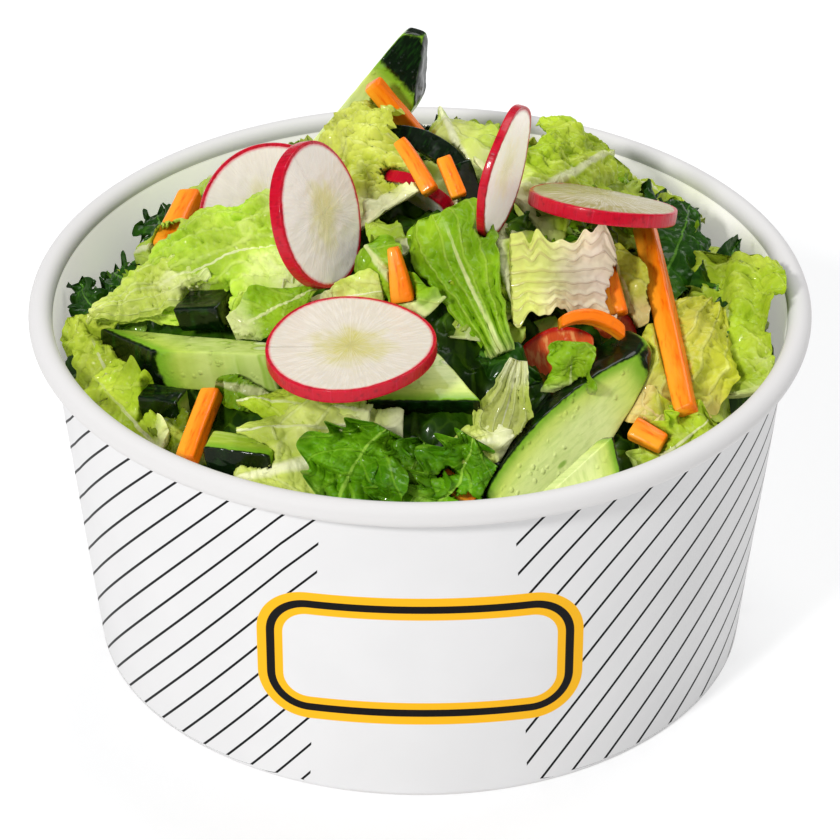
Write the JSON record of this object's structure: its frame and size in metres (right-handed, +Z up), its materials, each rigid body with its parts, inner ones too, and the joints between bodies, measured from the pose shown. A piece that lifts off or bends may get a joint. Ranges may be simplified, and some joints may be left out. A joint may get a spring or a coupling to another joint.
{
  "type": "salad in a paper bowl",
  "caption": "Round white paper bowl with a rolled rim and a hatched print, heaped with lettuce, radish slices, cucumber, carrot sticks and tomato.",
  "frame": {"origin": "centre of the bowl's foot ring, on the surface it stands on", "axes": "+Z up along the bowl's axis, -Y towards the front of the print, +X to the right seen from the front"},
  "size_m": [0.15, 0.15, 0.1171],
  "materials": {
    "paper": "satin",
    "lettuce": "satin",
    "radish": "gloss",
    "cucumber": "gloss",
    "carrot": "satin",
    "tomato": "gloss"
  },
  "bodies": {
    "root": {"bowl_floor": "paper", "bowl_wall": "paper", "carrot_centre": "carrot", "carrot_curved": "carrot", "carrot_left": "carrot", "carrot_long": "carrot", "carrot_low_left": "carrot", "carrot_low_right": "carrot", "carrot_mid": "carrot", "carrot_peak": "carrot", "carrot_right": "carrot", "carrot_rim": "carrot", "carrot_top": "carrot", "cucumber_back": "cucumber", "cucumber_block": "cucumber", "cucumber_crescent": "cucumber", "cucumber_front": "cucumber", "cucumber_left": "cucumber", "cucumber_low_left": "cucumber", "cucumber_ring": "cucumber", "cucumber_shadow": "cucumber", "cucumber_small": "cucumber", "cucumber_spear": "cucumber", "cucumber_under_radish": "cucumber", "radish_back_left": "radish", "radish_behind": "radish", "radish_edge_on": "radish", "radish_front": "radish", "radish_right": "radish", "radish_tucked": "radish", "radish_upright": "radish", "salad_heap": "lettuce", "tomato_slice": "tomato"}
  },
  "joints": []
}
